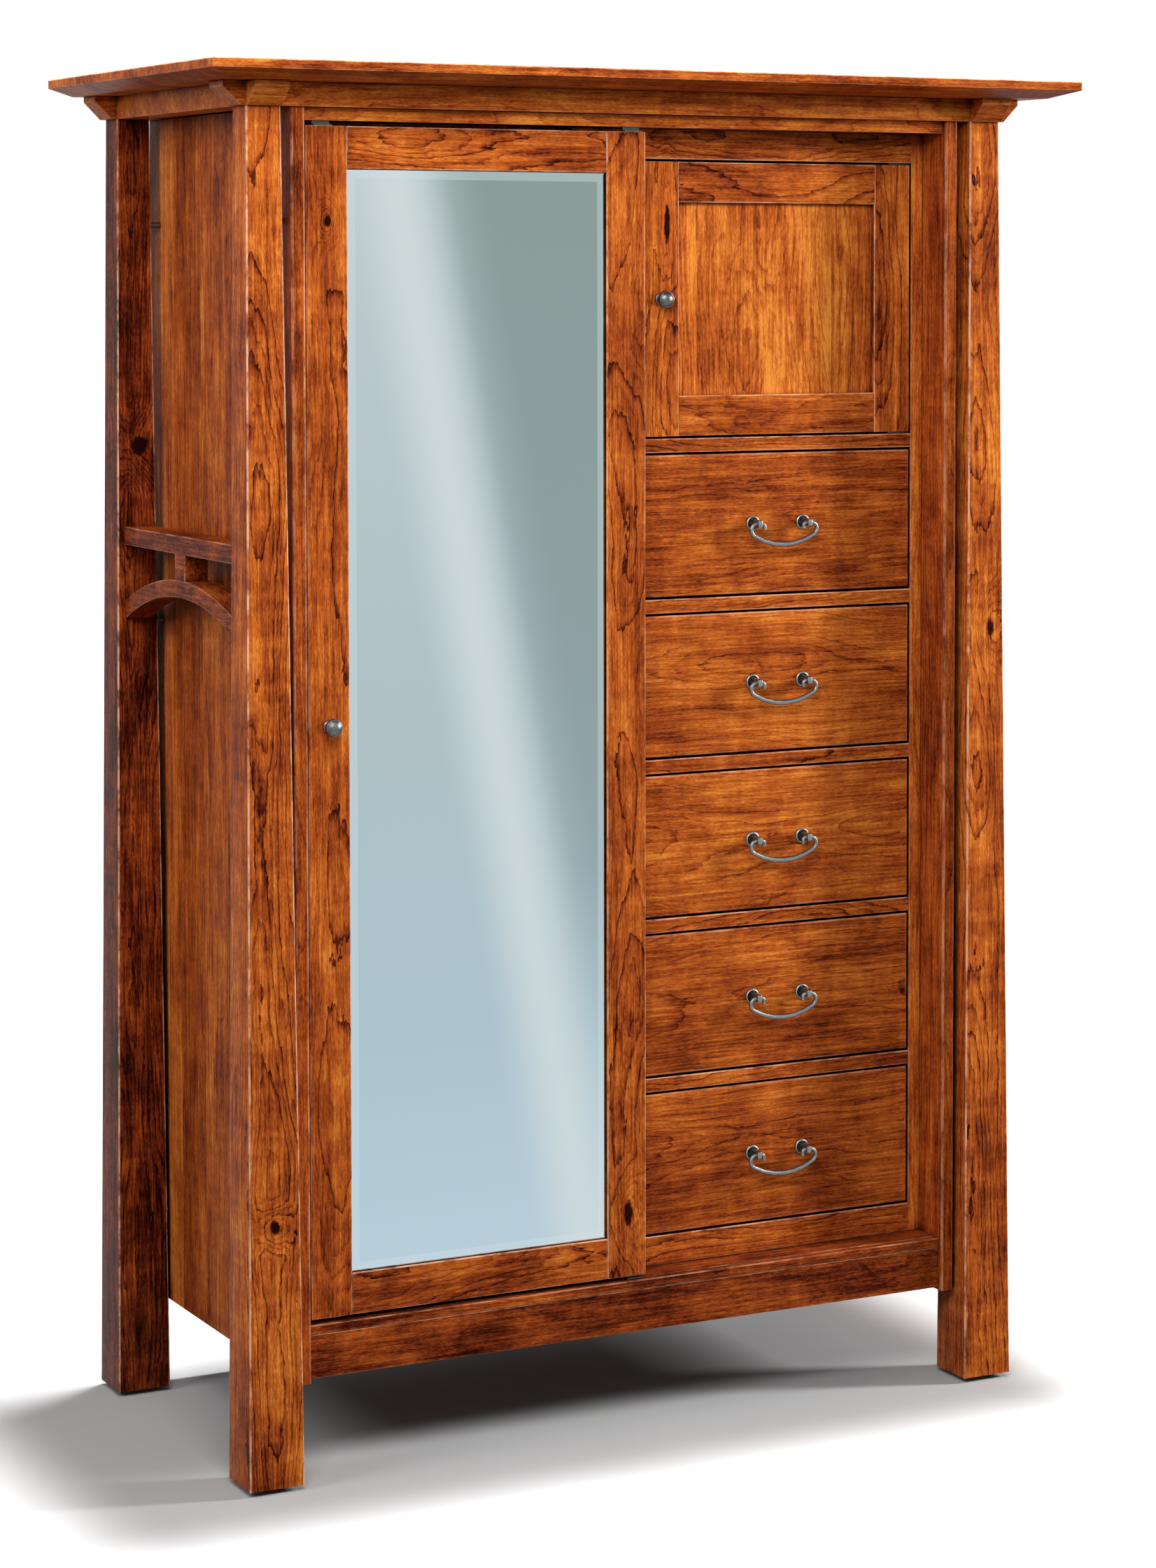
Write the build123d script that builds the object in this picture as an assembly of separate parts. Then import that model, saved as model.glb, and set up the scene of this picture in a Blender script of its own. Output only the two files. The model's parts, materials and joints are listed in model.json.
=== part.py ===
"""Jewelry armoire: a straight case on four tapered legs, with a sliding mirror door
on the left and a cabinet door over five drawers on the right.

Millimetres. The origin is on the floor, at the middle of the whole outline. +X is the
viewer's right, +Y is the back and +Z is up, so the front faces -Y.
"""

from build123d import *
import os

# ---- whole piece ----
HEIGHT = 1794.5
TOP_HALF = 628.0            # half the width of the top board
TOP_FRONT = -313.5
TOP_BACK = 303.0
TOP_THICK = 22.0
TOP_EDGE = 11.5             # height of the thin square edge above the bevel
TOP_BEVEL = 34.0            # how far the bevel runs in under the board
LEG_MIDDLE_Y = 34.0         # the legs stand evenly about this line, front and back

# ---- crossing rails under the top ----
CROWN_TOP = HEIGHT - TOP_THICK
CROWN_THICK = 30.5
CROWN_BOTTOM = CROWN_TOP - CROWN_THICK
ARM_OUT = 31.0              # how far a rail's end stands out past a leg
ARM_CHAMFER = 23.0

# ---- legs ----
LEG_X = 528.0
LEG_HEAD = 46.0             # square at the top
LEG_FOOT = 74.0             # square at the floor
LEG_HEAD_Y = 235.5          # from the middle line to a leg's centre, at the top
LEG_FOOT_Y = 242.5
LEG_ARRIS = 2.0
GLIDE_RADIUS = 11.0
GLIDE_HEIGHT = 7.0
BOLT_RADIUS = 4.0
BOLT_INSET = 7.0            # from a leg's inner edge back to the bolt's axis
BOLT_HEIGHTS = (250.0, 1064.0, 1600.0)

# ---- case ----
CASE_HALF = 489.0
BOARD = 19.0                # thickness of the case's boards
INSIDE = CASE_HALF - BOARD
CASE_FRONT = -218.0
CASE_BACK = 291.0
CASE_FOOT = 126.0
BACK_THICK = 6.0
LINING_FACE = CASE_BACK - BACK_THICK
FASCIA_FRONT = -210.0
FASCIA_THICK = 10.0
FASCIA_BOTTOM = 1725.5
CEILING = 1726.0            # underside of the case's top board
APRON_BOTTOM = 130.0
DECK_BOTTOM = 186.0
SILL_TOP = 198.5
DECK_TOP = 199.5
SILL_DEPTH = 11.0
ARRIS = 1.5                 # small rounding on the edges of boards
PANEL_ARRIS = 3.0
FOOT_RAIL_THICK = 25.0
STOP_WIDTH = 24.0
STOP_THICK = 12.0
ROOM = 0.5                  # clearance between parts that may not touch

# ---- face frame and the two bays ----
FACE = -158.0               # front plane of the face frame, drawers and cabinet door
FACE_BACK = FACE + BOARD
STILE_SIDE = 452.0          # inner edge of the two outer stiles
MIDDLE_STILE = (-8.0, 31.0)
PARTITION = (2.0, 21.0)
FACE_TOP = 1686.0           # underside of the face frame's top rail
FIRST_RAIL_TOP = 239.5
DRAWER_COUNT = 5
DRAWER_OPENING = 196.0
RAIL = 19.0
PITCH = DRAWER_OPENING + RAIL
REVEAL = 3.0                # gap all round a drawer front or the cabinet door

# ---- drawers ----
DRAWER_WALL = 12.0
DRAWER_SIDE_HEIGHT = 150.0
DRAWER_BACK = 240.0
DRAWER_BASE = 6.0
FRONT_ARRIS = 2.5
RUNNER_WIDTH = 24.0
GUIDE_HEIGHT = 30.0
GUIDE_STAND = 2.5           # how far a guide stands past the edge of its stile

# ---- bail pulls ----
PULL_SPACING = 77.5
POST = 8.0
POST_REACH = 23.0           # from the drawer's face to the end of a post
PIVOT_OUT = 18.0            # from the drawer's face to the bail's axis
ROSETTE_RADIUS = 10.5
ROSETTE_THICK = 3.0
ROSETTE_ARRIS = 1.0
BAIL_RADIUS = 2.75          # where the bail passes through the posts
BAIL_FIT = 0.05
BAIL_GRIP_RADIUS = 3.7      # in the loop that fingers pull on
BAIL_DROP = 29.0            # from the axis down to the middle of the grip
BAIL_WIDEN = 12.0           # how far the grip stands out past each post
BAIL_CURL = 8.5             # how far each end comes back inside its post and down

# ---- sliding door ----
DOOR_LEFT = -465.0
DOOR_RIGHT = 15.0
DOOR_BOTTOM = 204.0
DOOR_TOP = 1719.5
DOOR_FRONT = -205.5
DOOR_THICK = 20.0
DOOR_BACK = DOOR_FRONT + DOOR_THICK
DOOR_STILE = 57.0
DOOR_RAIL = 54.0
DOOR_LIP = 4.0              # wood left in front of the mirror
REBATE = 8.0
MIRROR_THICK = 5.0
MIRROR_BEVEL = 20.0
MIRROR_BEVEL_DROP = 2.0
BACKER_THICK = 5.0
GROOVE_DEPTH = 10.0
GROOVE_WIDTH = 8.0

# ---- hanging track and rollers ----
TRACK_WIDTH = 20.0
TRACK_Y = -189.0
TRACK_BOTTOM = 1728.0
TRACK_TOP = 1752.0
TRACK_WALL = 1.5
TRACK_SLOT = 6.0
ROLLER_RADIUS = 8.0
ROLLER_WIDTH = 4.0
ROLLER_ASIDE = 5.5          # from the hanger's middle to the middle of each wheel
ROLLER_LIFT = 0.03
AXLE_RADIUS = 2.0
AXLE_LENGTH = 15.0
AXLE_FIT = 0.05
HANGER_WIDTH = 24.0
HANGER_THICK = 3.0
HANGER_HEAD = 5.0           # metal left above the axle
HANGER_FOOT = (-9.0, 3.0)   # front and back of the foot, from the track's middle
HANGER_FOOT_THICK = 2.0
HANGER_XS = (-438.0, 1.0)
ROLLER_AXIS_Z = TRACK_BOTTOM + TRACK_WALL + ROLLER_RADIUS + ROLLER_LIFT
GUIDE_PLATE = (24.0, 18.0, 2.0)     # width, depth and thickness
GUIDE_TONGUE = (24.0, 6.0, 10.0)

# ---- cabinet door ----
CABINET_FLOOR = FIRST_RAIL_TOP + DRAWER_COUNT * PITCH
CABINET_STILE = 56.0
CABINET_RAIL = 54.0
PANEL_THICK = 6.0
PANEL_SETBACK = 8.0
PANEL_TONGUE = 8.0
HINGE_X = 445.5
HINGE_Y = -153.5
HINGE_PIN = 2.0
HINGE_LEAF = 1.4
HINGE_FIT = 0.05
HINGE_REACH = 7.0           # how far a pin goes into the door
HINGE_LENGTH = 30.0         # from the pin's axis to the far end of a leaf
HINGE_LEAF_Y = (FACE + 1.0, FACE + 10.0)

# ---- side frames between the legs ----
SIDE_OUT = 546.0
SHELF_DEPTH = 44.0
SHELF_Z = (1168.0, 1192.5)
ARCH_DEPTH = 38.0
ARCH_FOOT_Z = 1067.5
ARCH_RISE = 44.0
ARCH_THICK = 22.5
SIDE_POST_X = 33.0
SIDE_POST_Y = 36.0
ARCH_SPRING_DROP = 40.0     # how far the arch's ends run down below its spring line

# ---- inside the mirror bay ----
BAY_SHELF_Z = (440.0, 700.0, 960.0)
SHELF_THICK = 16.0
SHELF_FRONT = -128.0
SHELF_BACK = 277.0
PIN_RADIUS = 2.5
PIN_REACH = 8.0
PIN_SETBACK = 40.0
PIN_FIT = 0.02
HOOK_RAIL_Z = (1590.0, 1630.0)
HOOK_RAIL_THICK = 14.0
HOOK_COUNT = 12
HOOK_REACH = 30.0
HOOK_RISE = 14.0
HOOK_BEND = 5.0
HOOK_RADIUS = 1.8
HOOK_MARGIN = 25.0          # from each end of the rail to the outer hooks
HOOK_RAIL_INSET = 30.0

KNOB_RADIUS = 12.0
KNOB_REACH = 24.0


# ---- helpers ----
def board(x, y, z):
    """A rectangular board between two limits along each axis."""
    size = Box(x[1] - x[0], y[1] - y[0], z[1] - z[0])
    return Pos((x[0] + x[1]) / 2, (y[0] + y[1]) / 2, (z[0] + z[1]) / 2) * size


def eased(part, axis, radius=ARRIS):
    """Rounds every edge that runs along one axis."""
    return fillet(part.edges().filter_by(axis), radius)


def eased_face(part, radius=ARRIS):
    """Rounds the four edges of the face that looks to the front."""
    front = part.faces().sort_by(Axis.Y)[0]
    return fillet(front.edges(), radius)


def eased_front_edges(part, axis, radius=ARRIS):
    """Rounds the two front edges that run along one axis."""
    edges = part.edges().filter_by(axis).sort_by(Axis.Y)[:2]
    return fillet(edges, radius)


def rod_along(axis_name, centre, radius, length):
    """A round rod centred on a point, along X, Y or Z."""
    turn = {"X": Rotation(0, 90, 0), "Y": Rotation(90, 0, 0), "Z": Rotation(0, 0, 0)}
    return Pos(*centre) * turn[axis_name] * Cylinder(radius, length)


def left_and_right(part):
    """The part and its twin on the other side of the middle."""
    return [part, mirror(part, about=Plane.YZ)]


def front_and_back(part):
    """The part and its twin across the line midway between the legs."""
    return [part, mirror(part, about=Plane.XZ.offset(-LEG_MIDDLE_Y))]


def save(name, parts):
    """Writes one node, as its separate solids, and prints what it holds."""
    solids = []
    for part in parts:
        solids.extend(part.solids())
    shape = solids[0] if len(solids) == 1 else Compound(solids)
    export_step(shape, f"parts/{name}.step")
    print(f"{name:22s} {len(solids):3d} solids {shape.volume / 1000.0:10.1f} cm3")


# ---- top and crossing rails ----
def make_top_board():
    """A thin square edge over a wide shallow bevel, which stops at the back edge."""
    edge = board((-TOP_HALF, TOP_HALF), (TOP_FRONT, TOP_BACK), (HEIGHT - TOP_EDGE, HEIGHT))
    edge = fillet(edge.faces().sort_by(Axis.Z)[-1].edges(), ARRIS)
    depth = TOP_BACK - TOP_FRONT
    upper = Rectangle(2 * TOP_HALF, depth)
    lower = Rectangle(2 * (TOP_HALF - TOP_BEVEL), depth - TOP_BEVEL)
    upper = Pos(0, (TOP_BACK + TOP_FRONT) / 2, HEIGHT - TOP_EDGE) * upper
    lower = Pos(0, (TOP_BACK + TOP_FRONT + TOP_BEVEL) / 2, CROWN_TOP) * lower
    return edge + loft([lower, upper])


def make_crown_rails():
    """Four rails that cross over the legs in halved joints, with chamfered ends."""
    half = LEG_HEAD / 2
    tip_x = LEG_X + half + ARM_OUT
    front_y = LEG_MIDDLE_Y - LEG_HEAD_Y
    back_y = LEG_MIDDLE_Y + LEG_HEAD_Y
    middle_z = (CROWN_TOP + CROWN_BOTTOM) / 2
    across = board((-tip_x, tip_x), (front_y - half, front_y + half), (CROWN_BOTTOM, CROWN_TOP))
    ends = across.edges().filter_by(Axis.Y).group_by(Axis.Z)[0]
    across = chamfer(ends, ARM_CHAMFER)
    along = board(
        (LEG_X - half, LEG_X + half),
        (front_y - half - ARM_OUT, back_y + half),
        (CROWN_BOTTOM, CROWN_TOP))
    tip = along.edges().filter_by(Axis.X).group_by(Axis.Z)[0].sort_by(Axis.Y)[0]
    along = chamfer(tip, ARM_CHAMFER)
    rails = []
    for y in (front_y, back_y):
        rail = Pos(0, y - front_y, 0) * across
        for x in (-LEG_X, LEG_X):
            rail -= board((x - half, x + half), (y - half, y + half), (middle_z, CROWN_TOP))
        rails.append(rail)
    seat = board(
        (-INSIDE, INSIDE), (TRACK_Y - TRACK_WIDTH / 2, front_y + half + ROOM),
        (CROWN_BOTTOM, TRACK_TOP))
    rails[0] -= seat
    for y in (front_y, back_y):
        along -= board(
            (LEG_X - half, LEG_X + half), (y - half, y + half), (CROWN_BOTTOM, middle_z))
    return rails + left_and_right(along)


# ---- legs ----
def make_leg():
    """The front right leg: square in section, wider at the foot, eased along its arrises."""
    head = Pos(LEG_X, LEG_MIDDLE_Y - LEG_HEAD_Y, CROWN_BOTTOM) * Rectangle(LEG_HEAD, LEG_HEAD)
    foot = Pos(LEG_X, LEG_MIDDLE_Y - LEG_FOOT_Y, GLIDE_HEIGHT) * Rectangle(LEG_FOOT, LEG_FOOT)
    leg = loft([foot, head])
    tall = [edge for edge in leg.edges() if edge.length > CROWN_BOTTOM / 2]
    return fillet(tall, LEG_ARRIS)


def all_four(part):
    """A part of the front right corner, repeated at the other three corners."""
    return [twin for side in left_and_right(part) for twin in front_and_back(side)]


def make_glide():
    centre = (LEG_X, LEG_MIDDLE_Y - LEG_FOOT_Y, GLIDE_HEIGHT / 2)
    disc = rod_along("Z", centre, GLIDE_RADIUS, GLIDE_HEIGHT)
    return fillet(disc.edges().sort_by(Axis.Z)[0], ARRIS)


def make_leg_bolts(leg):
    """Spacer bolts that hold a leg just clear of the case."""
    y = LEG_MIDDLE_Y - LEG_HEAD_Y + LEG_HEAD / 2 - BOLT_INSET
    length = LEG_X - CASE_HALF
    bolts = []
    for z in BOLT_HEIGHTS:
        bolt = rod_along("X", (CASE_HALF + length / 2, y, z), BOLT_RADIUS, length)
        bolts.append(bolt - leg)
    return bolts


# ---- side frames ----
def make_side_frame(front_leg, rear_leg):
    """Shelf rail, arch and short post between the two right legs."""
    span = (LEG_MIDDLE_Y - LEG_HEAD_Y, LEG_MIDDLE_Y + LEG_HEAD_Y)
    rail = board((SIDE_OUT - SHELF_DEPTH, SIDE_OUT), span, SHELF_Z)
    rail = eased(rail, Axis.Y)
    half = LEG_HEAD_Y - LEG_HEAD / 2 - LEG_ARRIS
    radius = (half ** 2 + ARCH_RISE ** 2) / (2 * ARCH_RISE)
    centre_z = ARCH_FOOT_Z + ARCH_RISE - radius
    place = Pos(SIDE_OUT - ARCH_DEPTH / 2, LEG_MIDDLE_Y, centre_z) * Rotation(0, 90, 0)
    arch = place * Cylinder(radius + ARCH_THICK, ARCH_DEPTH)
    arch -= place * Cylinder(radius, ARCH_DEPTH)
    arch &= board((CASE_HALF, LEG_X + LEG_FOOT), span, (ARCH_FOOT_Z - ARCH_SPRING_DROP, SHELF_Z[0]))
    post = board(
        (SIDE_OUT - SIDE_POST_X, SIDE_OUT),
        (LEG_MIDDLE_Y - SIDE_POST_Y / 2, LEG_MIDDLE_Y + SIDE_POST_Y / 2),
        (ARCH_FOOT_Z + ARCH_RISE, SHELF_Z[0]))
    post = (eased(post, Axis.Z) - arch).solids().sort_by(Axis.Z)[-1]
    rail = rail - front_leg - rear_leg
    arch = arch - front_leg - rear_leg
    rail = rail.solids().sort_by(SortBy.VOLUME)[-1]
    arch = arch.solids().sort_by(SortBy.VOLUME)[-1]
    return rail, arch, post


# ---- case ----
def make_side_panel():
    """The right side board, with the holes for the shelf pins left out."""
    panel = board((INSIDE, CASE_HALF), (CASE_FRONT, CASE_BACK), (CASE_FOOT, CROWN_BOTTOM))
    outer = panel.edges().filter_by(Axis.Z).sort_by(Axis.Y)[:2]
    return fillet(outer, PANEL_ARRIS)


def shelf_pin_places():
    """Middle of every shelf pin, in pairs on both walls of the mirror bay."""
    places = []
    for z in BAY_SHELF_Z:
        for y in (SHELF_FRONT + PIN_SETBACK, SHELF_BACK - PIN_SETBACK):
            places.append((-INSIDE, y, z - PIN_RADIUS))
            places.append((PARTITION[0], y, z - PIN_RADIUS))
    return places


def drilled(part):
    """Takes the shelf pin holes out of a wall of the mirror bay."""
    for place in shelf_pin_places():
        part -= rod_along("X", place, PIN_RADIUS + PIN_FIT, 2 * PIN_REACH)
    return part


def make_shelf_pins():
    length = 2 * PIN_REACH - ROOM
    return [rod_along("X", place, PIN_RADIUS, length) for place in shelf_pin_places()]


def make_shelves():
    """Three loose shelves in the mirror bay and the fixed floor of the cabinet."""
    shelves = []
    for z in BAY_SHELF_Z:
        shelf = board(
            (-INSIDE + 1.0, PARTITION[0] - 1.0), (SHELF_FRONT, SHELF_BACK), (z, z + SHELF_THICK))
        shelves.append(eased_face(shelf))
    floor = board(
        (PARTITION[1], INSIDE), (FACE_BACK, LINING_FACE), (CABINET_FLOOR - RAIL, CABINET_FLOOR))
    return shelves + [floor]


def make_cleats():
    """Battens under the deck, the foot rail at the back and the cabinet door's stop."""
    side = board(
        (INSIDE - BOARD, INSIDE), (FASCIA_FRONT + BOARD, CASE_BACK - FOOT_RAIL_THICK),
        (DECK_BOTTOM - BOARD, DECK_BOTTOM))
    back = board((-INSIDE, INSIDE), (CASE_BACK - FOOT_RAIL_THICK, LINING_FACE), (APRON_BOTTOM, DECK_BOTTOM))
    stop = board(
        (PARTITION[1], PARTITION[1] + STOP_WIDTH), (FACE_BACK + ROOM, FACE_BACK + ROOM + STOP_THICK),
        (CABINET_FLOOR, CEILING))
    return left_and_right(side) + [back, stop]


def make_face_stiles():
    tall = (DECK_TOP, CEILING)
    middle = board(MIDDLE_STILE, (FACE, FACE_BACK), tall)
    side = board((STILE_SIDE, INSIDE), (FACE, FACE_BACK), tall)
    return left_and_right(side) + [middle]


def rail_heights():
    """Underside of each rail over a drawer, from the lowest up."""
    return [FIRST_RAIL_TOP + number * PITCH - RAIL for number in range(1, DRAWER_COUNT + 1)]


def make_face_rails():
    """Rails between the stiles: two along the foot, two along the top, five between."""
    bays = ((-STILE_SIDE, MIDDLE_STILE[0]), (MIDDLE_STILE[1], STILE_SIDE))
    rails = []
    for bay in bays:
        rails.append(board(bay, (FACE, FACE_BACK), (DECK_TOP, FIRST_RAIL_TOP)))
        rails.append(board(bay, (FACE, FACE_BACK), (FACE_TOP, CEILING)))
    for low in rail_heights():
        rails.append(board(bays[1], (FACE, FACE_BACK), (low, low + RAIL)))
    return [eased_front_edges(rail, Axis.X) for rail in rails]


def make_drawer_runners():
    """Runners level with the rails, and guides that keep each drawer straight."""
    pieces = []
    for number in range(DRAWER_COUNT):
        top = FIRST_RAIL_TOP + number * PITCH
        left_runner = (PARTITION[1], PARTITION[1] + RUNNER_WIDTH)
        right_runner = (STILE_SIDE - GUIDE_STAND - RUNNER_WIDTH / 2, INSIDE)
        for x in (left_runner, right_runner):
            pieces.append(board(x, (FACE_BACK, LINING_FACE), (top - RAIL, top)))
        left_guide = (PARTITION[1], MIDDLE_STILE[1] + GUIDE_STAND)
        right_guide = (STILE_SIDE - GUIDE_STAND, INSIDE)
        for x in (left_guide, right_guide):
            pieces.append(board(x, (FACE_BACK, LINING_FACE), (top, top + GUIDE_HEIGHT)))
    return pieces


def make_necklace_rail():
    ends = (-INSIDE + HOOK_RAIL_INSET, PARTITION[0] - HOOK_RAIL_INSET)
    rail = board(ends, (LINING_FACE - HOOK_RAIL_THICK, LINING_FACE), HOOK_RAIL_Z)
    return eased_face(rail, PANEL_ARRIS)


def make_necklace_hooks():
    """A row of round pegs with turned-up ends."""
    margin = HOOK_RAIL_INSET + HOOK_MARGIN
    first = -INSIDE + margin
    step = (PARTITION[0] - margin - first) / (HOOK_COUNT - 1)
    middle_z = (HOOK_RAIL_Z[0] + HOOK_RAIL_Z[1]) / 2
    root = LINING_FACE - HOOK_RAIL_THICK
    hooks = []
    for number in range(HOOK_COUNT):
        x = first + number * step
        path = FilletPolyline(
            (x, root, middle_z), (x, root - HOOK_REACH, middle_z),
            (x, root - HOOK_REACH, middle_z + HOOK_RISE), radius=HOOK_BEND)
        start = Plane(origin=path @ 0, z_dir=path % 0)
        hooks.append(sweep(start * Circle(HOOK_RADIUS), path=path))
    return hooks


# ---- hanging track ----
def make_track():
    """A channel with two lips that the rollers run on, open below."""
    y = (TRACK_Y - TRACK_WIDTH / 2, TRACK_Y + TRACK_WIDTH / 2)
    hollow = (y[0] + TRACK_WALL, y[1] - TRACK_WALL)
    slot = (TRACK_Y - TRACK_SLOT / 2, TRACK_Y + TRACK_SLOT / 2)
    track = board((-INSIDE, INSIDE), y, (TRACK_BOTTOM, TRACK_TOP))
    track -= board((-INSIDE, INSIDE), hollow, (TRACK_BOTTOM + TRACK_WALL, TRACK_TOP - TRACK_WALL))
    return track - board((-INSIDE, INSIDE), slot, (TRACK_BOTTOM, TRACK_BOTTOM + TRACK_WALL))


def make_roller(x):
    """Two wheels on one axle, which turn together."""
    pieces = [rod_along("Y", (x, TRACK_Y, ROLLER_AXIS_Z), AXLE_RADIUS, AXLE_LENGTH)]
    for side in (-1.0, 1.0):
        centre = (x, TRACK_Y + side * ROLLER_ASIDE, ROLLER_AXIS_Z)
        wheel = rod_along("Y", centre, ROLLER_RADIUS, ROLLER_WIDTH)
        pieces.append(wheel - pieces[0])
    return pieces


def make_hanger(x):
    """A foot on the door's top edge and a stem up through the track's slot."""
    wide = (x - HANGER_WIDTH / 2, x + HANGER_WIDTH / 2)
    foot_top = DOOR_TOP + HANGER_FOOT_THICK
    foot = board(wide, (TRACK_Y + HANGER_FOOT[0], TRACK_Y + HANGER_FOOT[1]), (DOOR_TOP, foot_top))
    stem = board(
        wide, (TRACK_Y - HANGER_THICK / 2, TRACK_Y + HANGER_THICK / 2),
        (foot_top, ROLLER_AXIS_Z + HANGER_HEAD))
    return foot + stem - rod_along("Y", (x, TRACK_Y, ROLLER_AXIS_Z), AXLE_RADIUS + AXLE_FIT, AXLE_LENGTH)


def make_floor_guide():
    """A plate screwed to the deck, with a tongue in the groove under the door."""
    middle = (DOOR_FRONT + DOOR_BACK) / 2
    plate = Pos(0, middle, DECK_TOP + GUIDE_PLATE[2] / 2) * Box(*GUIDE_PLATE)
    tongue = Pos(0, middle, DECK_TOP + GUIDE_PLATE[2] + GUIDE_TONGUE[2] / 2) * Box(*GUIDE_TONGUE)
    return plate + tongue


# ---- sliding door ----
def door_groove():
    middle = (DOOR_FRONT + DOOR_BACK) / 2
    return board(
        (DOOR_LEFT - 1.0, DOOR_RIGHT + 1.0),
        (middle - GROOVE_WIDTH / 2, middle + GROOVE_WIDTH / 2),
        (DOOR_BOTTOM, DOOR_BOTTOM + GROOVE_DEPTH))


def mirror_seat():
    """The rebate behind the door frame that the mirror and its back lie in."""
    x = (DOOR_LEFT + DOOR_STILE - REBATE, DOOR_RIGHT - DOOR_STILE + REBATE)
    z = (DOOR_BOTTOM + DOOR_RAIL - REBATE, DOOR_TOP - DOOR_RAIL + REBATE)
    return x, z


def make_door_frame():
    seat_x, seat_z = mirror_seat()
    seat = board(seat_x, (DOOR_FRONT + DOOR_LIP, DOOR_BACK), seat_z)
    y = (DOOR_FRONT, DOOR_BACK)
    stiles = []
    for x in ((DOOR_LEFT, DOOR_LEFT + DOOR_STILE), (DOOR_RIGHT - DOOR_STILE, DOOR_RIGHT)):
        stile = eased_front_edges(board(x, y, (DOOR_BOTTOM, DOOR_TOP)), Axis.Z)
        stiles.append(stile - seat - door_groove())
    rails = []
    x = (DOOR_LEFT + DOOR_STILE, DOOR_RIGHT - DOOR_STILE)
    for z in ((DOOR_BOTTOM, DOOR_BOTTOM + DOOR_RAIL), (DOOR_TOP - DOOR_RAIL, DOOR_TOP)):
        rail = eased_front_edges(board(x, y, z), Axis.X)
        rails.append(rail - seat - door_groove())
    return stiles, rails


def make_mirror():
    """Bevelled plate glass, silvered behind."""
    x, z = mirror_seat()
    front = DOOR_FRONT + DOOR_LIP
    glass = board(x, (front + MIRROR_BEVEL_DROP, front + MIRROR_THICK), z)
    outer = Plane.XZ.offset(-(front + MIRROR_BEVEL_DROP)) * Rectangle(x[1] - x[0], z[1] - z[0])
    inner = Plane.XZ.offset(-front) * Rectangle(
        x[1] - x[0] - 2 * MIRROR_BEVEL, z[1] - z[0] - 2 * MIRROR_BEVEL)
    move = Pos((x[0] + x[1]) / 2, 0, (z[0] + z[1]) / 2)
    return glass + loft([move * outer, move * inner])


def make_mirror_back():
    """Thin board behind the glass and the four beads that hold it in."""
    x, z = mirror_seat()
    front = DOOR_FRONT + DOOR_LIP + MIRROR_THICK
    rear = front + BACKER_THICK
    backer = board(x, (front, rear), z)
    beads = []
    for near in ((x[0], x[0] + REBATE), (x[1] - REBATE, x[1])):
        beads.append(board(near, (rear, DOOR_BACK), z))
    for near in ((z[0], z[0] + REBATE), (z[1] - REBATE, z[1])):
        beads.append(board((x[0] + REBATE, x[1] - REBATE), (rear, DOOR_BACK), near))
    return [backer] + beads


def make_knob(x, y, z):
    """A turned knob on a face that looks to the front: foot, neck and domed head."""
    reach = KNOB_REACH
    with BuildPart() as knob:
        with BuildSketch(Plane.XZ):
            with BuildLine():
                Polyline((0, 0), (8.0, 0), (8.0, 2.0), (4.5, 3.5), (4.5, reach * 0.45))
                Spline(
                    (4.5, reach * 0.45), (KNOB_RADIUS, reach * 0.72), (7.5, reach * 0.96), (0, reach),
                    tangents=((1, 0.2), (-1, 0)))
                Line((0, reach), (0, 0))
            make_face()
        revolve(axis=Axis.Z)
    return Pos(x, y, z) * Rotation(90, 0, 0) * knob.part


# ---- cabinet door ----
def cabinet_limits():
    x = (MIDDLE_STILE[1] + REVEAL, STILE_SIDE - REVEAL)
    z = (CABINET_FLOOR + REVEAL, FACE_TOP - REVEAL)
    return x, z


def hinge_hole(end):
    """The hole that a hinge pin turns in, at one end of the cabinet door."""
    return rod_along("Z", (HINGE_X, HINGE_Y, end), HINGE_PIN + HINGE_FIT, 2 * (HINGE_REACH + REVEAL))


def make_cabinet_door():
    """Stiles and rails grooved for a flat panel, and holes for the hinge pins."""
    x, z = cabinet_limits()
    y = (FACE, FACE_BACK)
    inner_x = (x[0] + CABINET_STILE, x[1] - CABINET_STILE)
    inner_z = (z[0] + CABINET_RAIL, z[1] - CABINET_RAIL)
    panel_y = (FACE + PANEL_SETBACK, FACE + PANEL_SETBACK + PANEL_THICK)
    panel_x = (inner_x[0] - PANEL_TONGUE, inner_x[1] + PANEL_TONGUE)
    panel_z = (inner_z[0] - PANEL_TONGUE, inner_z[1] + PANEL_TONGUE)
    panel = board(panel_x, panel_y, panel_z)
    pieces = []
    for side in ((x[0], inner_x[0]), (inner_x[1], x[1])):
        pieces.append(eased_front_edges(board(side, y, z), Axis.Z) - panel)
    for side in ((z[0], inner_z[0]), (inner_z[1], z[1])):
        pieces.append(eased_front_edges(board(inner_x, y, side), Axis.X) - panel)
    for end in z:
        pieces[1] -= hinge_hole(end)
    return pieces, panel


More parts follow.
